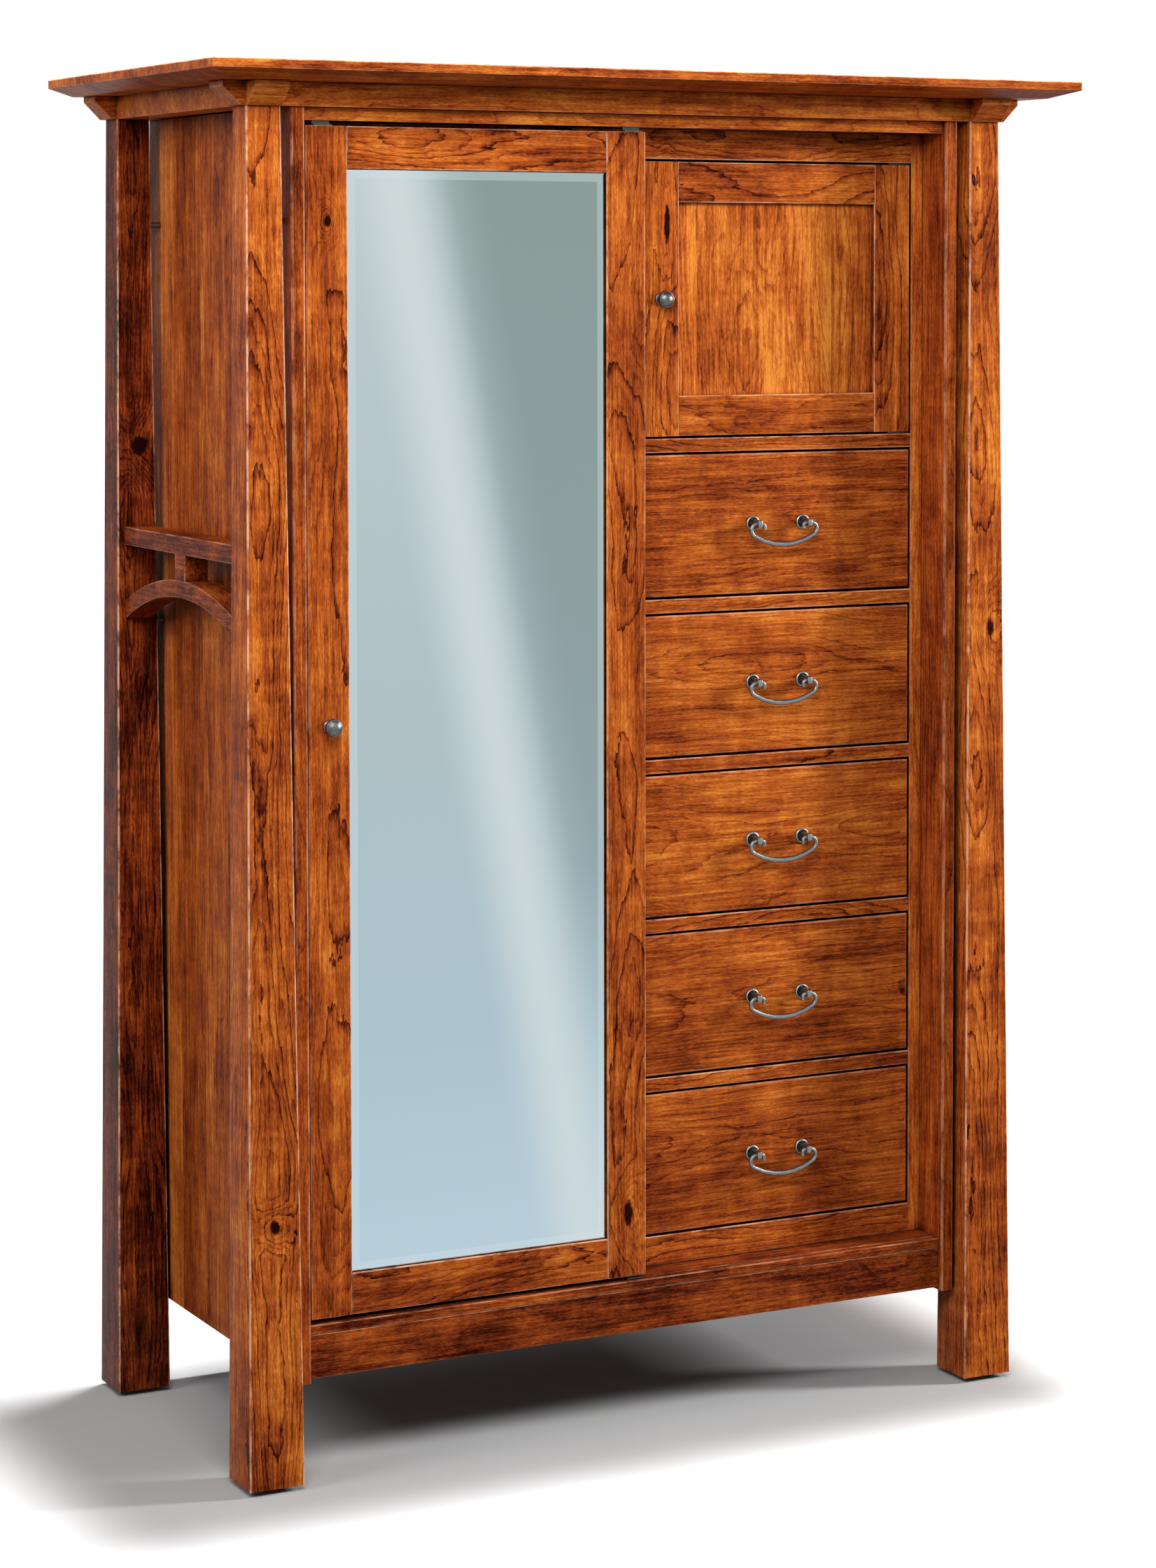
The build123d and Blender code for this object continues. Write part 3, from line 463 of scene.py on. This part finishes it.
# %% Tell the boards of the cabinet door's frame apart
CABINET_STILE = 56 * MM


def cabinet_board(place):
    if place.x < cabinet_low.x + CABINET_STILE:
        return "left stile"
    if place.x > cabinet_high.x - CABINET_STILE:
        return "right stile"
    return "rail", place.z > (cabinet_low.z + cabinet_high.z) / 2

# %% [markdown]
# The case comes first. The right-hand panel is painted lighter, a painted light on its inner face beside the
# drawers, and the face stiles are cut from far off the heart, where the grain is straight.

# %% Saw the boards of the case
sawn("front_legs", leg_cherry)
sawn("rear_legs", rear_cherry_painted_shade)
sawn("top_board", top_cherry)
sawn("crown_rails", crown_cherry_painted_light)
sawn("track_fascia", crown_cherry_painted_light)
sawn("side_shelf_rails", trim_cherry)
sawn("side_arches", trim_cherry, grain=1)
sawn("side_posts", trim_cherry)
sawn("side_panels", panel_cherry, right_painted_light=0.12)
sawn("door_sill", trim_cherry)
sawn("bottom_apron", trim_cherry)
sawn("face_stiles", stile_cherry_painted_light, aside=(60, 90))
sawn("face_rails", frame_cherry)
sawn("partition", inside_cherry)
sawn("case_top", inside_cherry)
sawn("case_bottom", inside_cherry)
sawn("shelves", inside_cherry)
sawn("necklace_rail", trim_cherry)

# %% [markdown]
# The doors and drawers follow. The small door's panel stands with its grain upright, though
# it is nearly as wide as it is high, so its direction is given.

# %% Saw the boards of the doors and drawers
sawn("door_stiles", frame_cherry)
sawn("door_rails", frame_cherry)
sawn("cabinet_frame", frame_cherry, board_at=cabinet_board)
sawn("cabinet_panel", door_panel_cherry, grain=2)
for number in range(1, 6):
    sawn(f"drawer_{number}_front", front_cherry)

# %% [markdown]
# ## Pale woods
# Drawer boxes, runners and cleats are made of cheaper, paler wood, and the backs are thin
# stained plywood. They are the same recipe with another set of colours.

# %% Mix the pale woods and saw their boards
MAPLE = [
    (0.00, (0.150, 0.070, 0.025)), (0.35, (0.420, 0.240, 0.100)),
    (0.65, (0.600, 0.390, 0.190)), (1.00, (0.780, 0.580, 0.340))]
PLY = [
    (0.00, (0.030, 0.008, 0.003)), (0.40, (0.140, 0.040, 0.012)),
    (0.70, (0.260, 0.085, 0.025)), (1.00, (0.420, 0.170, 0.060))]
maple = cherry("drawer maple", stops=MAPLE, rings=0.5)
plywood = cherry("stained plywood", stops=PLY, rings=0.5, tone=-0.05)
for number in range(1, 6):
    sawn(f"drawer_{number}_box", maple)
sawn("drawer_runners", maple)
sawn("cleats", maple)
sawn("case_back", plywood)
sawn("mirror_back", plywood)

# %% [markdown]
# ## Metals and plastics
# The knobs and pulls are cast and antiqued: dark in the hollows, rubbed bright on the high
# places. Pointiness knows which is which, because it reads how much the surface bulges. The
# bolts, track and hinges are plain plated steel with fine scratches.

# %% Antiqued pewter, plated steel and nylon
def antiqued(name, dark, bright):
    material, tree, shader = new_material(name)
    place = add(tree, "ShaderNodeTexCoord").outputs["Object"]
    bulge = add(tree, "ShaderNodeNewGeometry").outputs["Pointiness"]
    mottle = noise(tree, place, 520.0, 4.0, 0.65)
    rubbed = spread(tree, bulge, 0.46, 0.60)
    rubbed = sums(tree, "ADD", rubbed, sums(tree, "MULTIPLY", sums(tree, "SUBTRACT", mottle, 0.45), 1.5))
    between = [0.5 * (d + b) for d, b in zip(dark, bright)]
    colour = ramp(tree, rubbed, [(0.0, dark), (0.45, between), (1.0, bright)])
    rough = spread(tree, mottle, 0.3, 0.7, 0.48, 0.28)
    finish_with(
        tree, shader, height=mottle, depth=0.4 * MM, strength=0.55, colour=colour,
        rough=rough, metal=1.0)
    return material


def plated(name, colour, rough_low=0.28, metal=1.0):
    material, tree, shader = new_material(name)
    place = add(tree, "ShaderNodeTexCoord").outputs["Object"]
    scratches = noise(tree, stretched(tree, place, 1.0, 6.0, 6.0), 150.0, 4.0, 0.7)
    haze = noise(tree, place, 30.0, 3.0)
    tint = ramp(tree, haze, [(0.3, [0.75 * c for c in colour]), (0.7, colour)])
    rough = spread(tree, scratches, 0.3, 0.7, rough_low, rough_low + 0.22)
    finish_with(
        tree, shader, height=scratches, depth=0.1 * MM, strength=0.4, colour=tint,
        rough=rough, metal=metal)
    return material


pewter = antiqued("antiqued pewter", (0.016, 0.016, 0.016), (0.26, 0.27, 0.265))
zinc = plated("zinc plated steel", (0.16, 0.155, 0.15))
bronze = plated("bronzed steel", (0.060, 0.045, 0.030))
nylon = plated("white nylon", (0.82, 0.81, 0.76), rough_low=0.4, metal=0.0)
dark_nylon = plated("dark brown nylon", (0.020, 0.012, 0.008), rough_low=0.4, metal=0.0)
glide_nylon = plated("brown nylon", (0.46, 0.25, 0.14), rough_low=0.38, metal=0.0)
CARRIED = {
    "antique_pewter": pewter, "steel": zinc, "hinge_steel": bronze, "nylon_roller": nylon,
    "nylon_guide": dark_nylon, "nylon_glide": glide_nylon}
print("metals and plastics:", ", ".join(m.name for m in CARRIED.values()))

# %% [markdown]
# ## The mirror
# Plate glass with a wide ground bevel, silvered behind. Its colour is a painted reflection: cooler and darker on
# the right, bluer towards the foot, with one soft pale painted sheen band that leans across it. On the bevel the
# painted reflection is a touch paler; the surface's own normal tells the bevel from the flat.

# %% Silvered, bevelled glass
LEFT_PAINTED_REFLECTION = [
    (0.0, (0.480, 0.615, 0.700)), (0.22, (0.415, 0.545, 0.615)),
    (0.50, (0.430, 0.530, 0.565)), (1.0, (0.520, 0.600, 0.615))]
RIGHT_PAINTED_REFLECTION = [
    (0.0, (0.470, 0.610, 0.695)), (0.16, (0.430, 0.560, 0.620)), (0.36, (0.285, 0.385, 0.410)),
    (0.55, (0.270, 0.352, 0.358)), (1.0, (0.255, 0.335, 0.325))]
PAINTED_SHEEN_BAND = (0.625, 0.700, 0.712, 1.0)
BEVEL_PAINTED_REFLECTION = (0.66, 0.75, 0.78, 1.0)
BAND_LEAN = 0.195
BAND_ASIDE = 19 * MM
BAND_HALF_WIDTH = 85 * MM


def silvered(name):
    material, tree, shader = new_material(name)
    low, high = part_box("mirror_glass")
    coordinates = add(tree, "ShaderNodeTexCoord")
    parts = add(tree, "ShaderNodeSeparateXYZ", {0: coordinates.outputs["Object"]})
    rise = add(tree, "ShaderNodeMapRange", {0: parts.outputs["Z"], 1: low.z, 2: high.z}).outputs[0]
    # Painted reflection: these colours stand in for what the mirror reflects, and the band and the bevel tint are
    # painted sheen.
    left = ramp(tree, rise, LEFT_PAINTED_REFLECTION)
    right = ramp(tree, rise, RIGHT_PAINTED_REFLECTION)
    slant = sums(tree, "MULTIPLY_ADD", parts.outputs["Z"], BAND_LEAN, parts.outputs["X"])
    centre = (low.x + high.x) / 2 + BAND_LEAN * (low.z + high.z) / 2
    off = sums(tree, "SUBTRACT", slant, centre + BAND_ASIDE)
    tint = mixed(tree, spread(tree, off, -0.02, 0.13), left, right)
    painted_sheen = spread(tree, sums(tree, "ABSOLUTE", off), 0.0, BAND_HALF_WIDTH, 0.85, 0.0)
    tint = mixed(tree, painted_sheen, tint, PAINTED_SHEEN_BAND)
    face = add(tree, "ShaderNodeSeparateXYZ", {0: coordinates.outputs["Normal"]})
    bevel = spread(tree, sums(tree, "ABSOLUTE", face.outputs["Y"]), 0.9955, 0.9985, 0.32, 0.0)
    tint = mixed(tree, bevel, tint, BEVEL_PAINTED_REFLECTION)
    finish_with(tree, shader, colour=tint, metal=1.0, rough=0.035)
    return material


CARRIED["mirror"] = silvered("silvered plate glass, painted reflection")

# %% [markdown]
# ## Knobs
# A knob is turned on a lathe: one outline, spun round an axis. The outline has a foot, a
# narrow neck and a mushroom head with a shallow ring cut near its rim. A subdivision surface
# then rounds it, so the outline needs only a dozen points.

# %% Turn an outline round the Y axis
TURNING_STEPS = 32


def turned(bm, outline, centre):
    """Spins (radius, reach) points round an axis that looks to the front."""
    verts = [bm.verts.new(centre + Vector((radius, -reach, 0.0))) for radius, reach in outline]
    edges = [bm.edges.new(pair) for pair in zip(verts, verts[1:])]
    bmesh.ops.spin(
        bm, geom=verts + edges, cent=centre, axis=(0, 1, 0), dvec=(0, 0, 0),
        angle=math.tau, steps=TURNING_STEPS, use_merge=True, use_duplicate=False)
    bmesh.ops.remove_doubles(bm, verts=bm.verts, dist=1e-6)
    bmesh.ops.recalc_face_normals(bm, faces=bm.faces)


# The outline of a knob, as radius and height above the wood.
KNOB = [
    (0.0, 0.0), (8.6, 0.0), (8.6, 1.6), (7.6, 2.4), (5.2, 3.2), (4.6, 6.0), (5.4, 9.0),
    (10.2, 11.5), (12.0, 14.6), (11.6, 17.6), (10.4, 19.4), (9.9, 19.0), (9.2, 19.8),
    (6.5, 22.2), (3.2, 23.5), (0.0, 24.0)]


def knob(node):
    low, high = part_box(node)
    scale = (high.y - low.y) / KNOB[-1][1]
    bm = bmesh.new()
    centre = Vector(((low.x + high.x) / 2, high.y, (low.z + high.z) / 2))
    turned(bm, [(r * scale, y * scale) for r, y in KNOB], centre)
    piece = finished(bm, f"{node}_turned", pewter, node, math.radians(60))
    rounding = piece.modifiers.new("rounding", "SUBSURF")
    rounding.levels = rounding.render_levels = 1
    print(node, len(piece.data.polygons), "faces before rounding")


for node in ("door_knob", "cabinet_knob"):
    knob(node)

# %% [markdown]
# ## Pulls
# Each pull has two round roses with a cast knuckle standing out of each, and a bail that
# hangs through the knuckles. The rose is turned like the knobs. The knuckle starts as a
# block, narrows towards the front, and has its edges worn round.

# %% Cast the roses and knuckles
ROSE = [
    (0.0, 0.0), (10.3, 0.0), (10.5, 1.0), (9.9, 2.1), (8.6, 2.5), (8.0, 2.0), (4.0, 2.6),
    (0.0, 3.0)]
ROSE_DEPTH = 2 * MM
KNUCKLE_WIDTH = 8.0 * MM
KNUCKLE_HEIGHT = 11.5 * MM
KNUCKLE_NARROWS = (0.86, 1.0, 0.80)
KNUCKLE_WORN = 1.3 * MM


def pull(node, pivot):
    low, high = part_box(node)
    reach = high.y - low.y
    radius = (high.z - low.z) / 2
    bm = bmesh.new()
    for x in (low.x + radius, high.x - radius):
        turned(bm, [(r * MM, y * MM) for r, y in ROSE], Vector((x, high.y, pivot.z)))
        block = bmesh.ops.create_cube(bm, size=1.0)["verts"]
        depth = reach - ROSE_DEPTH
        bmesh.ops.scale(bm, vec=(KNUCKLE_WIDTH, depth, KNUCKLE_HEIGHT), verts=block)
        front = [v for v in block if v.co.y < 0]
        bmesh.ops.scale(bm, vec=KNUCKLE_NARROWS, verts=front)
        place = Vector((x, high.y - ROSE_DEPTH - depth / 2, pivot.z))
        bmesh.ops.translate(bm, vec=place, verts=block)
        edges = {edge for v in block for edge in v.link_edges}
        bmesh.ops.bevel(
            bm, geom=list(edges), offset=KNUCKLE_WORN, offset_type="OFFSET", segments=3,
            profile=0.5, affect="EDGES", material=-1)
    finished(bm, f"{node}_cast", pewter, node, math.radians(50))


# %% [markdown]
# The bail is a rod that is fattest in the middle and thinnest at its two curled ends. It
# could be a curve with a bevel, but a walk is clearer: a ring of edges starts at one tip,
# and is extruded step by step along straights and arcs, swelling as it goes. Both halves use
# the same list of turns, the second time backwards.

# %% Plan the walk along a bail
# Half of the walk, as (degrees turned, radius) or (0, length), in millimetres.
HALF_WALK = [(0.0, 4.5), (90.0, 4.0), (0.0, 8.5), (95.0, 8.0), (55.0, 10.0)]
CURL = 8.5 * MM
STARTS_UP = 90.0
TIP_RADIUS = 2.6 * MM
GRIP_SWELL = 1.0 * MM


def planned(pivot, tip):
    """The whole walk in short steps: the last turn of each half has to meet the middle."""
    x, z, heading = tip.x, tip.z, STARTS_UP
    for turn, size in HALF_WALK:
        if turn:
            a, b = math.radians(heading), math.radians(heading + turn)
            x += size * MM * (math.sin(b) - math.sin(a))
            z += size * MM * (math.cos(a) - math.cos(b))
            heading += turn
        else:
            x += size * MM * math.cos(math.radians(heading))
            z += size * MM * math.sin(math.radians(heading))
    left_over = 360.0 - heading
    last = (left_over, (pivot.x - x) / math.sin(math.radians(left_over)) / MM)
    steps = []
    for turn, size in HALF_WALK + [last, last] + HALF_WALK[::-1]:
        count = max(2, round(abs(turn) / 9)) if turn else 3
        steps += [(turn / count, size if turn else size / count)] * count
    return steps


def thick(done):
    """Radius of the rod after a share of its length."""
    return TIP_RADIUS + GRIP_SWELL * math.sin(math.pi * done) ** 3

# %% [markdown]
# With the walk planned, the ring takes one step after another. On a straight it moves
# forward, on an arc it turns about the arc's centre, and each time it swells or shrinks.

# %% Walk a ring of edges along each bail
def bail(node, pivot, spacing):
    tip = Vector((pivot.x - spacing / 2 + CURL, pivot.y, pivot.z - CURL))
    steps = planned(pivot, tip)
    travel = [math.radians(t) * s * MM if t else s * MM for t, s in steps]
    whole = sum(travel)
    bm = bmesh.new()
    ring = bmesh.ops.create_circle(bm, cap_ends=False, radius=1.0, segments=14)["verts"]
    bmesh.ops.scale(bm, vec=Vector((1, 1, 1)) * thick(0.0), verts=ring)
    bmesh.ops.translate(bm, vec=tip, verts=ring)
    edges = list({e for v in ring for e in v.link_edges})
    place, heading, done = tip.copy(), STARTS_UP, 0.0
    for (turn, size), length in zip(steps, travel):
        grown = bmesh.ops.extrude_edge_only(bm, edges=edges)["geom"]
        verts = [g for g in grown if isinstance(g, bmesh.types.BMVert)]
        edges = [g for g in grown if isinstance(g, bmesh.types.BMEdge)
                 and all(v in verts for v in g.verts)]
        way = Vector((math.cos(math.radians(heading)), 0, math.sin(math.radians(heading))))
        if turn:
            centre = place + size * MM * Vector((-way.z, 0, way.x))
            spin = Matrix.Rotation(-math.radians(turn), 3, "Y")
            bmesh.ops.rotate(bm, cent=centre, matrix=spin, verts=verts)
            place = centre + spin @ (place - centre)
            heading += turn
        else:
            bmesh.ops.translate(bm, vec=way * length, verts=verts)
            place = place + way * length
        swell = thick((done + length) / whole) / thick(done / whole)
        done += length
        bmesh.ops.scale(
            bm, vec=Vector((1, 1, 1)) * swell, space=Matrix.Translation(-place), verts=verts)
    bmesh.ops.holes_fill(bm, edges=[e for e in bm.edges if e.is_boundary], sides=0)
    caps = [f for f in bm.faces if len(f.verts) > 4]
    bmesh.ops.bevel(
        bm, geom=[e for f in caps for e in f.edges], offset=0.9 * MM, offset_type="OFFSET",
        segments=2, profile=0.5, affect="EDGES", material=-1)
    bmesh.ops.recalc_face_normals(bm, faces=bm.faces)
    drop = pivot.z - min(v.co.z for v in bm.verts)
    print(f"{node}: rod {whole * 1000:.0f} mm long, lowest {drop * 1000:.1f} mm down")
    finished(bm, f"{node}_rod", pewter, node, math.radians(60))


for number in range(1, 6):
    pivot = Vector(JOINT[f"bail_{number}_swing"]["pos_m"])
    low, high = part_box(f"pull_{number}")
    spacing = (high.x - low.x) - (high.z - low.z)
    pull(f"pull_{number}", pivot)
    bail(f"bail_{number}", pivot, spacing)

# %% [markdown]
# ## What stays as it is
# The track, bolts, hinges, pins, hooks, rollers, glides and the mirror have their right
# shape in the frame already, so they keep it and only take a finish.

# %% Finish the carried-over nodes
for node, piece in frame["nodes"].items():
    if piece.hide_render:
        continue
    piece.data.materials.clear()
    piece.data.materials.append(CARRIED[SLOT[node]])
    print("carried over:", node)

# %% [markdown]
# ## The studio
# A white floor runs out to a white surround. Real white surroundings would throw so much
# light back at the piece that its own shading would drown, so the floor and the surround are
# bright to the eye and in reflections, and dim as sources of light: the Light Path node tells
# the one kind of ray from the other. The light itself comes from four softboxes. The small
# one overhead gives the soft shadow underneath. The wide one in front lights the fronts. The
# tall one far to the right rakes them, and the one on the left fills the side.

# %% Floor and surround
FLOOR_AS_LIGHT = 0.05
FLOOR_SEEN = 0.49
GLOW_STARTS = 1.2
GLOW_FULL = 4.5
SURROUND_AS_LIGHT = 0.21


def ray_is(tree, kind):
    return add(tree, "ShaderNodeLightPath").outputs[f"Is {kind} Ray"]


def floor():
    material, tree, shader = new_material("white floor")
    place = add(tree, "ShaderNodeTexCoord").outputs["Object"]
    seen, mirrored = ray_is(tree, "Camera"), ray_is(tree, "Glossy")
    bright = sums(tree, "MULTIPLY_ADD", seen, FLOOR_SEEN - FLOOR_AS_LIGHT, FLOOR_AS_LIGHT)
    bright = sums(tree, "MULTIPLY_ADD", mirrored, -FLOOR_AS_LIGHT, bright)
    speckle = spread(tree, noise(tree, place, 3.0, 2.0), 0.3, 0.7, 0.96, 1.0)
    bright = sums(tree, "MULTIPLY", bright, speckle)
    away = add(tree, "ShaderNodeVectorMath", {0: place}, operation="LENGTH").outputs["Value"]
    glow = sums(tree, "MULTIPLY", spread(tree, away, GLOW_STARTS, GLOW_FULL, 0.0, 1.1), seen)
    glow = sums(tree, "ADD", glow, mirrored)
    colour = add(tree, "ShaderNodeCombineXYZ", {0: bright, 1: bright, 2: bright}).outputs[0]
    tree.links.new(glow, shader.inputs["Emission Strength"])
    shader.inputs["Emission Color"].default_value = (1.0, 1.0, 1.0, 1.0)
    finish_with(tree, shader, colour=colour, rough=0.8, shine=0.0)
    bm = bmesh.new()
    bmesh.ops.create_grid(bm, x_segments=1, y_segments=1, size=60.0)
    mesh = bpy.data.meshes.new("floor")
    bm.to_mesh(mesh)
    bm.free()
    mesh.materials.append(material)
    piece = bpy.data.objects.new("floor", mesh)
    bpy.context.scene.collection.objects.link(piece)
    piece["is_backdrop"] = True


def surround():
    world = bpy.data.worlds.new("white surround")
    world.use_nodes = True
    tree = world.node_tree
    background = tree.nodes["Background"]
    background.inputs["Color"].default_value = (1.0, 1.0, 1.0, 1.0)
    for_eyes = sums(tree, "MAXIMUM", ray_is(tree, "Camera"), ray_is(tree, "Glossy"))
    strength = sums(
        tree, "MULTIPLY_ADD", for_eyes, 1.0 - SURROUND_AS_LIGHT, SURROUND_AS_LIGHT)
    tree.links.new(strength, background.inputs["Strength"])
    bpy.context.scene.world = world


floor()
surround()
print("floor and surround are in place")

# %% [markdown]
# A softbox is a rectangle that glows evenly. A wide one near the piece gives soft shadows, and
# a narrow one far off gives crisp ones.

# %% Softboxes
def softbox(name, place, aim, width, height, watts):
    data = bpy.data.lights.new(name, "AREA")
    data.shape = "RECTANGLE"
    data.size, data.size_y = width, height
    data.energy = watts
    light = bpy.data.objects.new(name, data)
    light.location = place
    light.rotation_euler = (Vector(aim) - Vector(place)).to_track_quat("-Z", "Y").to_euler()
    light.visible_camera = False
    bpy.context.scene.collection.objects.link(light)
    print(f"{name} softbox, {width} by {height} m, {watts:.0f} W")


softbox("overhead", (0.50, 0.25, 12.0), (0.0, 0.0, 0.0), 1.2, 1.2, 3900.0)
softbox("front", (-1.4, -2.5, 2.9), (0.0, 0.0, 1.4), 1.6, 1.2, 76.0)
softbox("far right", (4.3, -1.7, 2.2), (0.0, 0.0, 1.1), 0.5, 1.5, 240.0)
softbox("left", (-3.2, -0.6, 2.6), (0.0, 0.0, 1.2), 1.2, 1.6, 40.0)
view = bpy.context.scene.view_settings
view.view_transform = "Standard"
view.look = "None"

# %% [markdown]
# ## The camera
# It stands to the left, at about eye height, some five metres off, and looks very slightly
# down. A small shift does the rest of the framing, which keeps the uprights nearly upright.

# %% Set up the camera
camera = bpy.data.objects.new("camera", bpy.data.cameras.new("camera"))
YAW = math.radians(27.94)
PITCH = math.radians(-3.138)
LEVEL = math.radians(90)
camera.data.sensor_width = 36.0
camera.data.lens = 86.67
camera.data.shift_x = -0.0624
camera.data.shift_y = -0.19
camera.location = (-2.275, -4.608, 1.527)
camera.rotation_euler = (LEVEL + PITCH, 0.0, -YAW)
camera.data.clip_start = 0.1
bpy.context.scene.collection.objects.link(camera)
bpy.context.scene.camera = camera
print("camera stands at", [round(x, 2) for x in camera.location])

# %% [markdown]
# ## The box round everything
# The looks must not outgrow the real shape, so the box round every piece that renders, the floor left out, is
# printed at the end.

# %% Print the box round everything
bpy.context.view_layer.update()
low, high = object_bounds()
print("visual box, metres:", [round(x, 4) for x in (*low, *high)])
